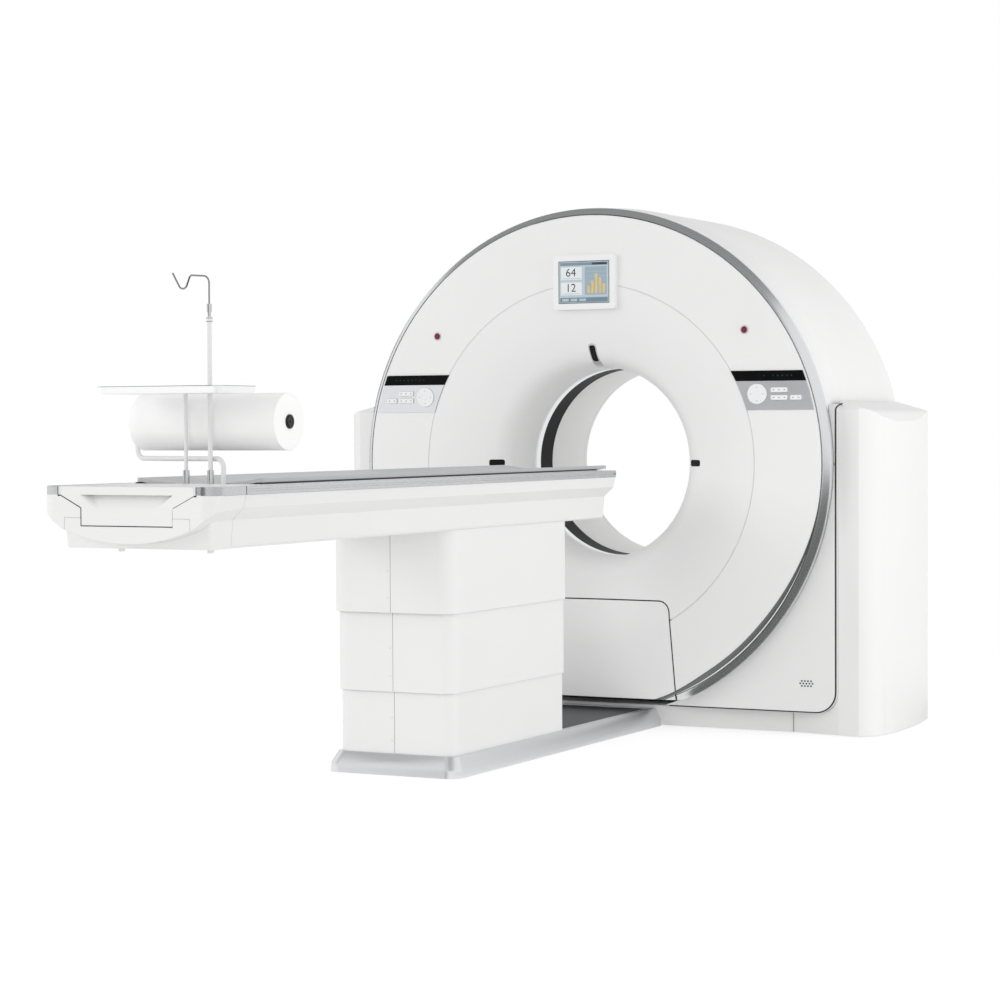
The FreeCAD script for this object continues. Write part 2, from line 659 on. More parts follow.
for side, sign in SIDES:
    half = box(f"panel_half_{side}", (f"{sign}*face_r/2-face_r/2", "-front_y-60", "panel_low-1"),
               (f"{sign}*face_r/2+face_r/2", "-front_y+90", "panel_top+1"))
    pockets = []
    pad_face = panel_y("pad_x", "pad_z")
    pockets.append(cylinder(f"pad_pocket_{side}", "pad_r+slack", "pocket_d+20",
                            (f"{sign}*pad_x", f"{pad_face}-20", "pad_z"), "y"))
    pad = cylinder(f"pad_body_{side}", "pad_r", "key_d",
                   (f"{sign}*pad_x", f"{pad_face}-key_proud", "pad_z"), "y")
    pad.Label = f"d_pad_{side}"
    node(pad)
    for name, x, z, width in PANEL_KEYS:
        face = panel_y(x, z)
        pockets.append(prism(f"{name}_pocket_{side}", "XZ_Plane",
                             [key_outline(f"{sign}*({x})", z, width, "slack")],
                             f"{face}-20", f"{face}+pocket_d"))
        key = prism(f"{name}_{side}", "XZ_Plane",
                    [key_outline(f"{sign}*({x})", z, width, "0")],
                    f"{face}-key_proud", f"{face}-key_proud+key_d")
        node(key)
    panel_side = common(f"panel_side_{side}", panel_band, half)
    node(cut(f"control_panel_{side}", panel_side, *pockets))

    stop_face = face_y("sqrt(stop_x^2+(stop_z-iso_z)^2)")
    stop = cylinder(f"stop_button_{side}", "stop_r", "stop_d",
                    (f"{sign}*stop_x", f"{stop_face}-stop_proud", "stop_z"), "y")
    node(stop)

# ---------------------------------------------------------------- laser windows
laser_ring = revolved("laser_ring", [
    ("bore_r-laser_t", f"{BORE_Y}"),
    (f"{MEET_R}-laser_t*0.46", f"{MEET_Y}-laser_t*0.89", f"{TIGHT_R}+laser_t", 1),
    ("seam_r", f"{SEAM_Y}-laser_t", f"{WIDE_R}+laser_t", 1),
    ("seam_r", f"{SEAM_Y}"),
    (MEET_R, MEET_Y, WIDE_R, -1),
    ("bore_r", f"{BORE_Y}", TIGHT_R, -1)])
laser_boxes = group(
    "laser_boxes",
    box("laser_top", ("-laser_w/2", "-front_y", "iso_z+laser_in_r"),
        ("laser_w/2", "-window_half", "iso_z+laser_out_r")),
    box("laser_left", ("-laser_out_r", "-front_y", "iso_z-laser_w/2"),
        ("-laser_in_r", "-window_half", "iso_z+laser_w/2")),
    box("laser_right", ("laser_in_r", "-front_y", "iso_z-laser_w/2"),
        ("laser_out_r", "-window_half", "iso_z+laser_w/2")))
laser_windows = node(common("laser_windows", laser_ring, laser_boxes))

# ---------------------------------------------------------------- bore rings
bore_trim_ring = node(revolved("bore_trim_ring", [
    ("bore_r", "-window_half-bore_trim_w"), (LINER_R, "-window_half-bore_trim_w"),
    (LINER_R, "-window_half"), ("bore_r", "-window_half")]))
scan_window = node(revolved("scan_window", [
    ("bore_r", "-window_half"), ("bore_r+window_t", "-window_half"),
    ("bore_r+window_t", "window_half"), ("bore_r", "window_half")]))
rear_liner = node(revolved("rear_liner", [
    ("bore_r", "window_half"), (LINER_R, "window_half"),
    (LINER_R, "rear_bore"), ("bore_r", "rear_bore")]))

# ---------------------------------------------------------------- trim ring and housing
trim_solid = revolved("trim_solid", [
    ("face_r+1", RIM_Y),
    ("face_r+trim_rise", f"{RIM_Y}+trim_run", "trim_bulge", 1),
    ("face_r+trim_rise-cover_t", f"{RIM_Y}+trim_run"),
    ("face_r+1", f"{RIM_Y}+lip")])
trim_ring = node(cut("trim_ring", trim_solid, below_covers))

SHELL_Y = f"{RIM_Y}+trim_run+seam_gap"
shell_solid = revolved("shell_solid", [
    ("shell_front_r", SHELL_Y),
    ("shell_r", f"{SHELL_Y}+shell_taper"),
    ("shell_r", "shell_rear"),
    ("shell_r-rear_round", "shell_rear+rear_round", "rear_round", 1),
    ("shell_r-rear_round", "shell_rear+rear_round-cover_t"),
    ("shell_r-cover_t", "shell_rear"),
    ("shell_r-cover_t", f"{SHELL_Y}+shell_taper"),
    ("shell_front_r-cover_t", SHELL_Y)])
belly_ring = revolved("belly_ring", [
    ("bore_r", SHELL_Y), ("shell_front_r-1", SHELL_Y),
    ("shell_r-1", f"{SHELL_Y}+shell_taper"), ("shell_r-1", "shell_rear"),
    ("bore_r", "shell_rear")])
belly_slab = box("belly_slab", ("-shell_r", f"{SHELL_Y}-1", "cover_low"),
                 ("shell_r", "shell_rear+1", "cover_low+cover_t"))
frame_slot = box("frame_slot", ("-web_half-3", "plate_y-3", "cover_low-5"),
                 ("web_half+3", "plate_y+plate_t+3", "cover_low+cover_t+5"))
belly = cut("belly", common("belly_whole", belly_ring, belly_slab), frame_slot)
gantry_shell = node(fused("gantry_shell", cut("shell_ring", shell_solid, below_covers), belly))

REAR_R = "(rear_y-rear_bore)"
rear_solid = revolved("rear_solid", [
    ("bore_r", "rear_bore"),
    (f"bore_r+{REAR_R}", "rear_y", REAR_R, -1),
    ("shell_r-rear_round-seam_gap", "shell_rear+rear_round"),
    ("shell_r-rear_round-seam_gap", "shell_rear+rear_round-cover_t"),
    (f"bore_r+{REAR_R}", "rear_y-cover_t-2"),
    (f"bore_r+{REAR_R}*0.35+cover_t", f"rear_bore+{REAR_R}*0.7"),
    (LINER_R, "rear_bore")])
rear_cover = node(cut("rear_cover", rear_solid, below_covers))

# ---------------------------------------------------------------- corner panels and towers
ring_clear = revolved("ring_clear", [
    ("0", "-front_y-60"), ("face_r+trim_rise+seam_gap", "-front_y-60"),
    ("face_r+trim_rise+seam_gap", f"{RIM_Y}+trim_run"),
    ("shell_front_r+seam_gap", f"{RIM_Y}+trim_run"),
    ("shell_front_r+seam_gap", SHELL_Y),
    ("shell_r+seam_gap", f"{SHELL_Y}+shell_taper"),
    ("shell_r+seam_gap", "rear_y+20"), ("0", "rear_y+20")])
GRILLE_ROWS = ((-1, 4), (0, 5), (1, 4))
TOWER_IN = "line_x+line_gap/2"
PLATE_OUT = "line_x-line_gap/2"


def tower_block(label, sign, inset, low, reach):
    """Plan outline of a tower pushed up, its top sloped down and bevelled."""
    plan = [
        (f"{sign}*({TOWER_IN}-({reach}))", f"-tower_front+({inset})"),
        (f"{sign}*(tower_edge_x-({inset})/2)", f"-tower_front+({inset})"),
        (f"{sign}*(tower_x-13-({inset}))", "-tower_front+101", "104", int(sign)),
        (f"{sign}*(tower_x-({inset}))", "-tower_front+237", "700", int(sign)),
        (f"{sign}*(tower_rear_x-({inset}))", f"tower_rear-({inset})", "1900", int(sign)),
        (f"{sign}*({TOWER_IN}-({reach}))", f"tower_rear-({inset})")]
    if sign == "-1":
        plan = [(plan[-1][0], plan[-1][1])] + [
            (a[0], a[1]) + tuple(b[2:3]) + ((-int(sign),) if len(b) == 4 else ())
            for a, b in zip(reversed(plan[:-1]), [plan[-1]] + list(reversed(plan[1:-1])))]
    block = prism(f"{label}_block", "XY_Plane", [plan], low, "tower_top_z+40")
    fall = "(tower_top_z-tower_side_z)/(tower_x-line_x)"
    slope = [
        (f"{sign}*(line_x-60)", f"tower_top_z-({inset})+60*{fall}"),
        (f"{sign}*(tower_x-tower_bevel-({inset})*0.4)",
         f"tower_side_z-({inset})+tower_bevel*{fall}", "45"),
        (f"{sign}*(tower_x+30)", f"tower_side_z-({inset})-tower_bevel*2"),
        (f"{sign}*(tower_x+30)", "tower_top_z+80"),
        (f"{sign}*(line_x-60)", "tower_top_z+80")]
    wedge = prism(f"{label}_slope", "XZ_Plane", [slope], "-tower_front-40", "tower_rear+40")
    brow = prism(f"{label}_brow", "YZ_Plane", [[
        ("-tower_front-60", f"tower_brow-({inset})*1.41-60"),
        ("-tower_front+80", f"tower_brow-({inset})*1.41+80"),
        ("-tower_front-60", f"tower_brow-({inset})*1.41+80")]],
        f"({sign}-1)/2*(tower_x+60)+(1+{sign})/2*(line_x-80)",
        f"({sign}-1)/2*(line_x-80)+(1+{sign})/2*(tower_x+60)")
    return cut(label, block, wedge, brow)


for side, sign in SIDES:
    plate_loop = [
        (f"{sign}*({PLATE_OUT})", "corner_low", "line_round"),
        (f"{sign}*({PLATE_OUT})", "iso_z"),
        (f"{sign}*({PLATE_OUT}-190)", "iso_z"),
        (f"{sign}*240", "corner_low")]
    plate = prism(f"corner_plate_{side}", "XZ_Plane", [plate_loop],
                  "-corner_y", "-corner_y+corner_t")
    tools = [ring_clear]
    if side == "right":
        for row, count in GRILLE_ROWS:
            for step in range(count):
                at = step - (count - 1) / 2
                tools.append(cylinder(
                    f"grille_hole_{row + 1}_{step}", "grille_hole_r", "corner_t+20",
                    (f"grille_x+grille_pitch*{at}", "-corner_y-10",
                     f"grille_z+grille_row*{row}"), "y"))
    node(cut(f"corner_panel_{side}", plate, *tools))

    outer = tower_block(f"tower_outer_{side}", sign, "0", "tower_low", "0")
    inner = tower_block(f"tower_inner_{side}", sign, "tower_t", "tower_low-5", "60")
    wall = box(f"tower_wall_{side}",
               (f"{sign}*tower_wall_x/2-tower_wall_x/2+({sign}+1)/2*wall_in",
                "tower_rear-tower_t", "tower_low"),
               (f"{sign}*tower_wall_x/2+tower_wall_x/2-(1-{sign})/2*wall_in",
                "tower_rear", "iso_z"))
    strip = prism(f"tower_strip_{side}", "XY_Plane", [[
        (f"{sign}*(plinth_x+1)", "-plinth_y"),
        (f"{sign}*({TOWER_IN}+12)", "-tower_front+tower_t-1"),
        (f"{sign}*({TOWER_IN}+12)", "-plinth_y+foot_strip_d"),
        (f"{sign}*(plinth_x+1)", "-plinth_y+foot_strip_d")]], "tower_low", "foot_strip_h")
    node(cut(f"tower_{side}", fused(f"tower_whole_{side}",
                                    cut(f"tower_hollow_{side}", outer, inner), wall, strip),
             ring_clear))

# ---------------------------------------------------------------- plinth
plinth_block = box("plinth_block", ("-plinth_x", "-plinth_y", "plinth_foot"),
                   ("plinth_x", "-plinth_y+plinth_d", "plinth_h"))
plinth_inside = box("plinth_inside", ("-plinth_x-1", "-plinth_y+plinth_t", "plinth_foot-1"),
                    ("plinth_x+1", "-plinth_y+plinth_d+1", "plinth_h-plinth_t"))
plinth_cover = node(cut("plinth_cover", plinth_block, plinth_inside))

# ---------------------------------------------------------------- steel frame and drive
frame_base = box("frame_base", ("-base_x", "-plinth_y+foot_strip_d+15", "0"),
                 ("base_x", "tower_rear-tower_t-3", "base_h"))
frame_plate = revolved("frame_plate", [
    ("race_out_r", "plate_y"), ("plate_r", "plate_y"),
    ("plate_r", "plate_y+plate_t"), ("race_out_r", "plate_y+plate_t")])
frame_web = box("frame_web", ("-web_half", "plate_y", "base_h-10"),
                ("web_half", "plate_y+plate_t", "iso_z-race_out_r-60"))
frame_ribs = [box(f"frame_rib_{side}",
                  (f"{sign}*rib_x-rib_t/2", "-plinth_y+plinth_d+5", "base_h-10"),
                  (f"{sign}*rib_x+rib_t/2", "plate_y+5", "cover_low-5"))
              for side, sign in SIDES]
shaft_hole = cylinder("shaft_hole", "shaft_r+4", "plate_t+20",
                      ("pulley_x", "plate_y-10", "pulley_z"), "y")
gantry_frame = node(cut("gantry_frame",
                        fused("frame_weldment", frame_base, frame_plate, frame_web, *frame_ribs),
                        shaft_hole))

main_bearing = node(revolved("main_bearing", [
    ("race_in_r+run_gap", "plate_y-4"), ("race_out_r", "plate_y-4"),
    ("race_out_r", "plate_y+race_d"), ("race_in_r+run_gap", "plate_y+race_d")]))

drive_motor = node(cylinder("drive_motor", "motor_r", "motor_d",
                            ("pulley_x", "plate_y+plate_t", "pulley_z"), "y"))
BELT_Y = "disc_y+disc_t+6"
pulley_rim = cylinder("pulley_rim", "pulley_r", "belt_w+6",
                      ("pulley_x", f"{BELT_Y}-3", "pulley_z"), "y")
pulley_shaft = cylinder("pulley_shaft", "shaft_r", f"plate_y+plate_t-({BELT_Y})-4",
                        ("pulley_x", BELT_Y, "pulley_z"), "y")
drive_pulley = node(fused("drive_pulley", pulley_rim, pulley_shaft))


def belt_face(grow):
    """Loop of a belt round the drum and the pulley, as a flat face in the plane of the belt."""
    big, small = size(f"belt_r+run_gap+({grow})"), size(f"pulley_r+run_gap+({grow})")
    start = Vector(0, 0, size("iso_z"))
    end = Vector(size("pulley_x"), 0, size("pulley_z"))
    along = end - start
    lean = (big - small) / along.Length
    along.normalize()
    across = Vector(-along.z, 0, along.x)
    rise = sqrt(1 - lean ** 2)
    sides = []
    for way in (1, -1):
        out = along * lean + across * (way * rise)
        sides.append((start + out * big, end + out * small))
    (a1, b1), (a2, b2) = sides
    far, near = start - along * big, end + along * small
    edges = [Part.LineSegment(a1, b1).toShape(), Part.Arc(b1, near, b2).toShape(),
             Part.LineSegment(b2, a2).toShape(), Part.Arc(a2, far, a1).toShape()]
    return Part.Face(Part.Wire(edges))


belt_solid = belt_face("belt_t").cut(belt_face("0")).extrude(Vector(0, size("belt_w"), 0))
belt_solid.translate(Vector(0, size(BELT_Y), 0))
drive_belt = node(shaped("drive_belt", belt_solid))

# ---------------------------------------------------------------- rotating part
rotor_drum = node(revolved("rotor_drum", [
    ("drum_in_r", "disc_y-160"), ("race_in_r", "disc_y-160"), ("race_in_r", "disc_y"),
    ("disc_r", "disc_y"), ("disc_r", "disc_y+disc_t"),
    ("belt_r", "disc_y+disc_t"), ("belt_r", f"{BELT_Y}+belt_w+4"),
    ("race_in_r", f"{BELT_Y}+belt_w+4"), ("race_in_r", "plate_y+race_d+6"),
    ("slip_r", "plate_y+race_d+6"), ("slip_r", "plate_y+race_d+6+slip_w"),
    ("drum_in_r", "plate_y+race_d+6+slip_w")]))

tube_can = cylinder("tube_can", "tube_r", "tube_half+disc_y",
                    ("0", "-tube_half", "iso_z+tube_at"), "y")
tube_port = box("tube_port", ("-port_w/2", "-port_w/2", "iso_z+port_low"),
                ("port_w/2", "port_w/2", "iso_z+tube_at"))
xray_tube = node(fused("xray_tube", tube_can, tube_port))

detector = node(revolved("detector", [
    ("det_in_r", "-det_half"), ("det_out_r", "-det_half"),
    ("det_out_r", "disc_y"), ("det_out_r-20", "disc_y"),
    ("det_out_r-20", "det_half"), ("det_in_r", "det_half")], angle="det_angle"))
detector.Placement.Rotation = FreeCAD.Rotation(Vector(0, 1, 0), 90)

# ---------------------------------------------------------------- table base
def base_plan(half, front, corner):
    return [(half, neg(front), corner), (half, "-plinth_y-1"),
            (neg(half), "-plinth_y-1"), (neg(half), neg(front), corner)]


def lofted(label, sections, ruled=True, role="XY_Plane"):
    """Solid through outlines in parallel planes; each section is (loop, distance)."""
    body = doc.addObject("PartDesign::Body", label)
    body.Label = label
    sketches = []
    for loop, height in sections:
        sketch = outline(body, role, [loop])
        sketch.setExpression("AttachmentOffset.Base.z", bound(height))
        sketches.append(sketch)
    loft = body.newObject("PartDesign::AdditiveLoft", f"{label}_loft")
    loft.Profile = sketches[0]
    loft.Sections = sketches[1:]
    loft.Ruled = ruled
    return body


base_loft = lofted("base_loft", [
    (base_plan("foot_w/2", "foot_y", "foot_round"), "0"),
    (base_plan("foot_w/2-3", "foot_y-3", "foot_round-3"), "foot_h*0.42"),
    (base_plan("foot_top_w/2", "foot_y-foot_in", "foot_round-8"), "foot_h")])
tread_cut = box("tread_cut", ("-foot_top_w/2+22", "-col_y+col_l+30", "foot_h-tread_t"),
                ("foot_top_w/2-22", "-plinth_y-30", "foot_h+5"))
table_base = node(cut("table_base", base_loft, tread_cut))


def column_shell(label, out, front_out, rear_out, low, high):
    """One rectangular cover of the column, open at the top and the bottom."""
    def plan(inset):
        half, near_r, far_r = (f"{text}+({out})-({inset})"
                               for text in ("col_w/2", "col_round", "col_round_rear"))
        near, far = f"-col_y-({front_out})+({inset})", f"-col_y+col_l+({rear_out})-({inset})"
        return [(half, near, near_r), (half, far, far_r),
                (neg(half), far, far_r), (neg(half), near, near_r)]
    return prism(label, "XY_Plane", [plan("0"), plan("col_t")], low, high)


cover_lower = node(column_shell("cover_lower", "0", "0", "0", "foot_h", "low_top"))
cover_middle = node(column_shell("cover_middle", "col_step", "col_step_front", "col_step_rear",
                                 "mid_low", "mid_top"))
cover_upper = node(column_shell("cover_upper", "2*col_step", "col_step_front+col_step_up",
                                "2*col_step_rear", "up_low", "table_low"))

MAST_MID = "(-col_y+col_l/2)"


def mast_tube(label, inset, low, high):
    half, reach = f"(mast_w/2-({inset}))", f"(mast_l/2-({inset}))"

    def plan(wall):
        return [(f"{half}-({wall})", f"{MAST_MID}-{reach}+({wall})"),
                (f"{half}-({wall})", f"{MAST_MID}+{reach}-({wall})"),
                (f"-{half}+({wall})", f"{MAST_MID}+{reach}-({wall})"),
                (f"-{half}+({wall})", f"{MAST_MID}-{reach}+({wall})")]
    return prism(label, "XY_Plane", [plan("0"), plan("mast_t")], low, high)


lift_column = node(mast_tube("lift_column", "0", "foot_h", "mast_top"))
lift_stage = node(mast_tube("lift_stage", "mast_t+slide_gap", "stage_low", "stage_top"))
lift_tube = mast_tube("lift_tube", "2*(mast_t+slide_gap)", "inner_low", "table_low+body_t+1")
FRAME_HALF = "(rail_x-low_in-body_t-12)"
lift_beam = box("lift_beam", (f"-{FRAME_HALF}", "-table_foot+cap_l+40", "table_low+body_t"),
                (FRAME_HALF, "-table_head-60", "table_low+body_t+60"))
lift_carriage = node(fused("lift_carriage", lift_tube, lift_beam))

# ---------------------------------------------------------------- table body
RAIL_LOW = "top_z-rail_h"
FLANK_Z = "(top_z-rail_h-flank_h)"
BODY_RIGHT = [
    ("rail_x-low_in", "table_low", "10"),
    ("rail_x-under_in", "top_z-under_low"),
    ("rail_x-flank_in", FLANK_Z),
    ("rail_x-2", "top_z-rail_h"),
    ("rail_x-rail_w-0.5", "top_z-rail_h"),
    ("rail_x-rail_w-0.5", "top_z"),
]
INSIDE_RIGHT = [
    ("rail_x-low_in-body_t", "table_low+body_t"),
    ("rail_x-under_in-body_t", "top_z-under_low+3"),
    ("rail_x-flank_in-body_t-3", f"{FLANK_Z}"),
    ("rail_x-rail_w-0.5-body_t", "top_z-rail_h-body_t"),
    ("trough_w/2+body_t", "top_z-trough_d-body_t"),
]
SEAM_FOOT = "(-table_foot+cap_l)"
body_block = prism("body_block", "XZ_Plane", [both_sides(BODY_RIGHT)],
                   f"{SEAM_FOOT}+1", "-table_head")
body_inside = prism("body_inside", "XZ_Plane", [both_sides(INSIDE_RIGHT)],
                    f"{SEAM_FOOT}+1+body_t", "-table_head-body_t")
trough = box("trough", ("-trough_w/2", "-cradle_foot-3", "top_z-trough_d"),
             ("trough_w/2", "-table_head+5", "top_z+5"))
column_hole = box("column_hole",
                  ("-mast_w/2", f"{MAST_MID}-mast_l/2", "table_low-5"),
                  ("mast_w/2", f"{MAST_MID}+mast_l/2", "table_low+body_t+0.01"))
knobs = [cylinder(f"knob_{side}", "knob_r", "knob_h+1",
                  (f"{sign}*knob_x", "-knob_y", "table_low-knob_h")) for side, sign in SIDES]
table_shell = node(cut("table_shell", fused("body_outside", body_block, *knobs),
                       body_inside, trough, column_hole))


def cap_plan(inset, corner):
    """Level outline of the foot end's cap, pulled in by inset."""
    half, front = f"(rail_x-({inset}))", f"(-table_foot+({inset}))"
    return [(half, front, corner), (half, SEAM_FOOT), (neg(half), SEAM_FOOT),
            (neg(half), front, corner)]


cap_top = prism("cap_top", "XY_Plane",
                [cap_plan("rail_w+0.5", "end_round-rail_w-0.5")], "top_z-rail_h-1", "top_z")
cap_low = lofted("cap_low", [
    (cap_plan("low_in", "end_round-low_in+12"), "table_low"),
    (cap_plan("under_in", "end_round-under_in+8"), "top_z-under_low")])
CHIN_R = "(((chin_w/2)^2+(chin_side-chin_low)^2)/(2*(chin_side-chin_low)))"


def cap_section(flank):
    """Upright outline of the foot end, its chin one arc; flank lists the right side upwards."""
    return ([("chin_w/2", "chin_side", CHIN_R, 1)] + flank
            + [(neg(c[0]), c[1]) for c in reversed(flank)] + [("-chin_w/2", "chin_side")])


cap_bulk = lofted("cap_bulk", [
    (cap_section([("rail_x-under_in", "top_z-under_low+1"), ("rail_x-flank_in", FLANK_Z),
                  ("rail_x-2", "top_z-rail_h")]), "table_foot-cap_l"),
    (cap_section([("cap_low_w/2", "cap_low_z"), ("cap_break_w/2", "cap_break_z"),
                  ("rail_x-1", "top_z-rail_h")]), "table_foot")], role="XZ_Plane")
cap_bound = prism("cap_bound", "XY_Plane", [cap_plan("0", "end_round")],
                  "table_low-5", "top_z-rail_h")
cap_upper = common("cap_upper", cap_bulk, cap_bound)
lip_block = box("lip_block", ("-rail_x+end_round", "-table_foot", "top_z-rail_h-1"),
                ("rail_x-end_round", "-table_foot+rail_w+2", "top_z"))


def tongue_loop(grow):
    low_half, top_half = f"(tongue_w/2+({grow}))", f"(tongue_top_w/2+({grow}))"
    return [(low_half, f"tongue_low-({grow})"), (low_half, f"tongue_mid-({grow})"),
            (top_half, f"top_z-rail_h-({grow})"), (top_half, "top_z+0"),
            (neg(top_half), "top_z+0"), (neg(top_half), f"top_z-rail_h-({grow})"),
            (neg(low_half), f"tongue_mid-({grow})"), (neg(low_half), f"tongue_low-({grow})")]


TONGUE_D = "(rail_w+14)"
tongue_hole = prism("tongue_hole", "XZ_Plane", [tongue_loop("0")],
                    "-table_foot-5", f"-table_foot+{TONGUE_D}")
tongue_block = prism("tongue_block", "XZ_Plane", [tongue_loop("-panel_line/2")],
                     "-table_foot", f"-table_foot+{TONGUE_D}-1")


def grip_plan(width, depth):
    return [(f"{width}/2", "-table_foot-5"), (f"{width}/2", f"-table_foot+{depth}"),
            (f"-{width}/2", f"-table_foot+{depth}"), (f"-{width}/2", "-table_foot-5")]


grip_cut = lofted("grip_cut", [(grip_plan("grip_low_w", "grip_low_d"), f"{RAIL_LOW}-grip_h"),
                               (grip_plan("grip_w", "grip_d"), RAIL_LOW)])
foot_panel = node(cut("foot_panel", tongue_block, grip_cut))
grooves = []
for side, sign in SIDES:
    grooves.append(box(f"groove_level_{side}",
                       (f"{sign}*(groove_x+tongue_w/2)/2-(groove_x-tongue_w/2)/2",
                        "-table_foot-5", "groove_z-groove_w/2"),
                       (f"{sign}*(groove_x+tongue_w/2)/2+(groove_x-tongue_w/2)/2",
                        "-table_foot+groove_w", "groove_z+groove_w/2")))
    grooves.append(box(f"groove_upright_{side}",
                       (f"{sign}*groove_x-groove_w/2", "-table_foot-5", "chin_low"),
                       (f"{sign}*groove_x+groove_w/2", "-table_foot+groove_w",
                        "groove_z+groove_w/2")))
foot_cap = node(cut("foot_cap", fused("cap_whole", cap_low, cap_upper, cap_top, lip_block),
                    tongue_hole, *grooves))

# ---------------------------------------------------------------- side rails
SLOT_Z = f"({RAIL_LOW}+rail_h/2)"


def rail_section(sign):
    turn = [("rail_x", RAIL_LOW), ("rail_x", f"{SLOT_Z}-rail_slot/2"),
            ("rail_x-4", f"{SLOT_Z}-rail_slot/2"), ("rail_x-4", f"{SLOT_Z}+rail_slot/2"),
            ("rail_x", f"{SLOT_Z}+rail_slot/2"), ("rail_x", "top_z", "2"),
            ("rail_x-rail_w", "top_z"), ("rail_x-rail_w", RAIL_LOW)]
    loop = [(f"{sign}*({c[0]})",) + tuple(c[1:]) for c in turn]
    return loop if sign == "1" else list(reversed(loop))


rails = []
for side, sign in SIDES:
    rails.append(prism(f"rail_{side}", "XZ_Plane", [rail_section(sign)],
                       f"{SEAM_FOOT}+1", "-table_head"))
    outer_r, inner_r = "end_round", "(end_round-rail_w)"
    rails.append(prism(f"rail_end_{side}", "XY_Plane", [[
        (f"{sign}*(rail_x-end_round)", "-table_foot"),
        (f"{sign}*rail_x", "-table_foot+end_round", outer_r, int(sign)),
        (f"{sign}*rail_x", SEAM_FOOT),
        (f"{sign}*(rail_x-rail_w)", SEAM_FOOT),
        (f"{sign}*(rail_x-rail_w)", "-table_foot+end_round"),
        (f"{sign}*(rail_x-end_round)", "-table_foot+rail_w", inner_r, -int(sign))]],
        RAIL_LOW, "top_z"))
side_rails = node(group("side_rails", *rails))

# ---------------------------------------------------------------- glide strips and cradle
EDGE_LOW = "(cradle_top-cradle_edge)"
strips = [box(f"strip_{side}",
              (f"{sign}*(cradle_w/2-cradle_edge_w/2+1)-strip_w/2", "-cradle_foot-2", "top_z"),
              (f"{sign}*(cradle_w/2-cradle_edge_w/2+1)+strip_w/2", "-table_head-2",
               f"{EDGE_LOW}-strip_gap"))
          for side, sign in SIDES]
glide_strips = node(group("glide_strips", *strips))

DISH_R = "((((cradle_w/2-10)^2)+cradle_dip^2)/(2*cradle_dip))"
BELLY = f"({EDGE_LOW}-(cradle_top-cradle_dip-cradle_mid_t))"
BELLY_HALF = "(cradle_w/2-cradle_edge_w)"
BELLY_R = f"(({BELLY_HALF}^2+{BELLY}^2)/(2*{BELLY}))"
cradle_bar = prism("cradle_bar", "XZ_Plane", [[
    (BELLY_HALF, EDGE_LOW, BELLY_R, 1),
    ("cradle_w/2", EDGE_LOW, "3"),
    ("cradle_w/2", "cradle_top", "3"),
    ("cradle_w/2-10", "cradle_top"),
    ("-cradle_w/2+10", "cradle_top", DISH_R, -1),
    ("-cradle_w/2", "cradle_top", "3"),
    ("-cradle_w/2", EDGE_LOW, "3"),
    (neg(BELLY_HALF), EDGE_LOW)]], "-cradle_foot", "-cradle_head")
cradle_plan = prism("cradle_plan", "XY_Plane", [[
    ("cradle_w/2+1", "-cradle_foot", "16"), ("cradle_w/2+1", "-cradle_head", "48"),
    ("-cradle_w/2-1", "-cradle_head", "48"), ("-cradle_w/2-1", "-cradle_foot", "16")]],
    "cradle_top-60", "cradle_top+10")
cradle = node(common("cradle", cradle_bar, cradle_plan))

# ---------------------------------------------------------------- posts, tray and drip pole
LEFT_POST, RIGHT_POST = "set_x-post_gap/2", "set_x+post_gap/2"
POST_Y = "-set_y"
sleeve_list = []
for side, spot, inside in (("left", LEFT_POST, "tray_post_r"), ("right", RIGHT_POST, "post_r")):
    ring = cylinder(f"sleeve_ring_{side}", "sleeve_r", "sleeve_h", (spot, POST_Y, "top_z"))
    hole = cylinder(f"sleeve_hole_{side}", inside, "sleeve_h+2", (spot, POST_Y, "top_z-1"))
    sleeve_list.append(cut(f"sleeve_{side}", ring, hole))
post_sleeves = node(group("post_sleeves", *sleeve_list))

tray_post = node(cylinder("tray_post", "tray_post_r", "tray_z-top_z",
                          (LEFT_POST, POST_Y, "top_z")))
pole_solid = cylinder("pole_solid", "post_r", "collar_z+collar_h-top_z",
                      (RIGHT_POST, POST_Y, "top_z"))
pole_ring = cylinder("pole_ring", "collar_r", "collar_h", (RIGHT_POST, POST_Y, "collar_z"))
pole_hole = cylinder("pole_hole", "pole_bore", "collar_z+collar_h-rod_low+45",
                     (RIGHT_POST, POST_Y, "rod_low-40"))
iv_pole = node(cut("iv_pole", fused("pole_outside", pole_solid, pole_ring), pole_hole))


def tray_plan(inset):
    left, right = f"(tray_x-tray_w/2+({inset}))", f"(tray_x+tray_w/2-({inset}))"
    near = f"(-set_y+tray_rear-tray_l+({inset}))"
    far = f"(-set_y+tray_rear-({inset}))"
    corner = f"tray_corner-({inset})"
    return [(right, near, corner), (right, far, corner), (left, far, corner),
            (left, near, corner)]


tray_outer = lofted("tray_outer", [(tray_plan("5"), "tray_z"),
                                   (tray_plan("0"), "tray_z+tray_h")])
tray_inner = lofted("tray_inner", [(tray_plan("5+tray_t"), "tray_z+tray_t"),
                                   (tray_plan("tray_t"), "tray_z+tray_h+0.2")])
pole_pass = cylinder("pole_pass", "post_r+0.5", "tray_h", (RIGHT_POST, POST_Y, "tray_z-5"))
tray = node(cut("tray", tray_outer, tray_inner, pole_pass))

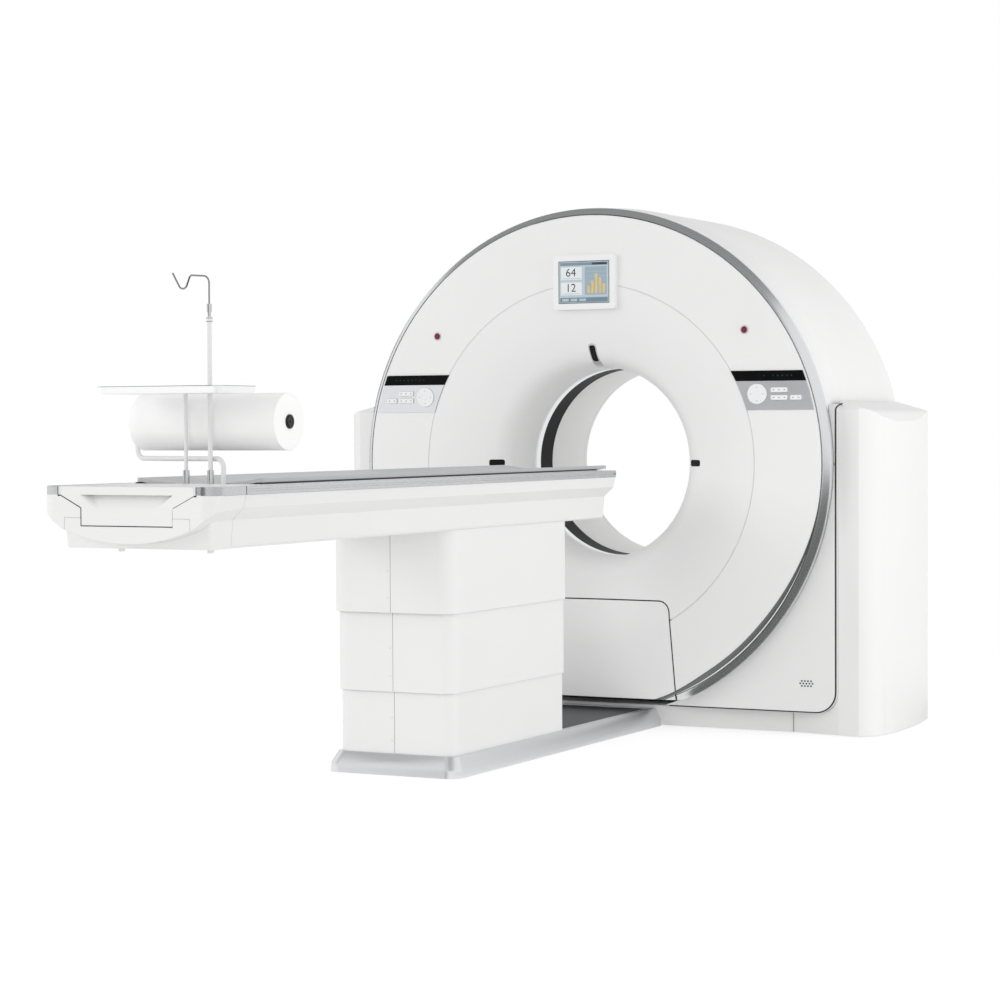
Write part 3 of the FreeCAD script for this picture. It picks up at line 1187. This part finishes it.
rod_tube = cylinder("rod_tube", "pole_bore-0.3", "ferrule_z-rod_low",
                    (RIGHT_POST, POST_Y, "rod_low"))
ferrule = cylinder("ferrule", "post_r+0.5", "ferrule_h", (RIGHT_POST, POST_Y, "ferrule_z"))
ferrule_bore = cylinder("ferrule_bore", "hook_r+0.3", "ferrule_h",
                        (RIGHT_POST, POST_Y, "ferrule_z+4"))
iv_rod = node(cut("iv_rod", fused("rod_outside", rod_tube, ferrule), ferrule_bore))


def bent_wire(points, radii):
    """Round path of straight runs joined by tangent arcs at the inner points."""
    edges, start = [], points[0]
    for i in range(1, len(points) - 1):
        back = (points[i - 1] - points[i]).normalize()
        ahead = (points[i + 1] - points[i]).normalize()
        half = back.getAngle(ahead) / 2
        reach = radii[i - 1] / tan(half)
        first, last = points[i] + back * reach, points[i] + ahead * reach
        middle = points[i] + (back + ahead).normalize() * (radii[i - 1] / sin(half) - radii[i - 1])
        edges += [Part.LineSegment(start, first).toShape(), Part.Arc(first, middle, last).toShape()]
        start = last
    edges.append(Part.LineSegment(start, points[-1]).toShape())
    return Part.Wire(edges)


def bent_rod(points, radii, radius):
    """Round bar along a bent path."""
    path = bent_wire(points, radii)
    ring = Part.Wire([Part.Circle(points[0], points[1] - points[0], radius).toShape()])
    solid = path.makePipeShell([ring], True, False)
    print("bar", round(radius, 1), "volume over section times length",
          round(solid.Volume / (3.14159265 * radius ** 2 * path.Length), 3))
    return solid


POLE_X, POLE_Y = size(RIGHT_POST), size(POST_Y)
HOOK_POINTS = [
    Vector(POLE_X, POLE_Y, size("ferrule_z") + 5),
    Vector(POLE_X, POLE_Y, size("hook_top")),
    Vector(POLE_X - 62, POLE_Y, size("hook_top") + 4),
    Vector(POLE_X - 84, POLE_Y, size("hook_top") - 50),
    Vector(POLE_X - 120, POLE_Y, size("hook_top") + 12),
]
iv_hook = node(shaped("iv_hook", bent_rod(HOOK_POINTS, [20, 9, 14], size("hook_r"))))

# ---------------------------------------------------------------- paper roll
ROLL_Y, ROLL_Z = size("-roll_y"), size("roll_z")
ROLL_END = size("roll_w/2")
HOLDER_POINTS = [
    Vector(size("holder_x"), POLE_Y + size("holder_back"), size("top_z")),
    Vector(size("holder_x"), POLE_Y + size("holder_back"), size("holder_z")),
    Vector(-ROLL_END - 24, ROLL_Y, size("holder_z")),
    Vector(-ROLL_END - 24, ROLL_Y, ROLL_Z),
    Vector(ROLL_END, ROLL_Y, ROLL_Z),
]
roll_holder = node(shaped("roll_holder",
                          bent_rod(HOLDER_POINTS, [26, 26, 20], size("holder_r"))))
roll_outside = cylinder("roll_outside", "roll_r", "roll_w", ("-roll_w/2", "-roll_y", "roll_z"), "x")
roll_core = cylinder("roll_core", "roll_hole", "roll_w+2",
                     ("-roll_w/2-1", "-roll_y", "roll_z"), "x")
paper_roll = node(cut("paper_roll", roll_outside, roll_core))
hub_body = cylinder("hub_body", "hub_r", "roll_w+8", ("-roll_w/2-4", "-roll_y", "roll_z"), "x")
hub_hole = cylinder("hub_hole", "holder_r", "roll_w+6", ("-roll_w/2-5", "-roll_y", "roll_z"), "x")
roll_hub = node(cut("roll_hub", hub_body, hub_hole))

# ---------------------------------------------------------------- check and write
doc.recompute()
for item in doc.Objects:
    if "Invalid" in item.State or "Error" in item.State:
        raise SystemExit(f"{item.Name} failed: {item.State}")
total = 0
for part in NODES:
    if part.Shape.isNull() or not part.Shape.isValid() or not part.Shape.Solids:
        raise SystemExit(f"{part.Label}: shape is null, not valid or holds no solid")
    total += 1
    part.Shape.exportStep(f"parts/{part.Label}.step")
print(total, "pieces written")
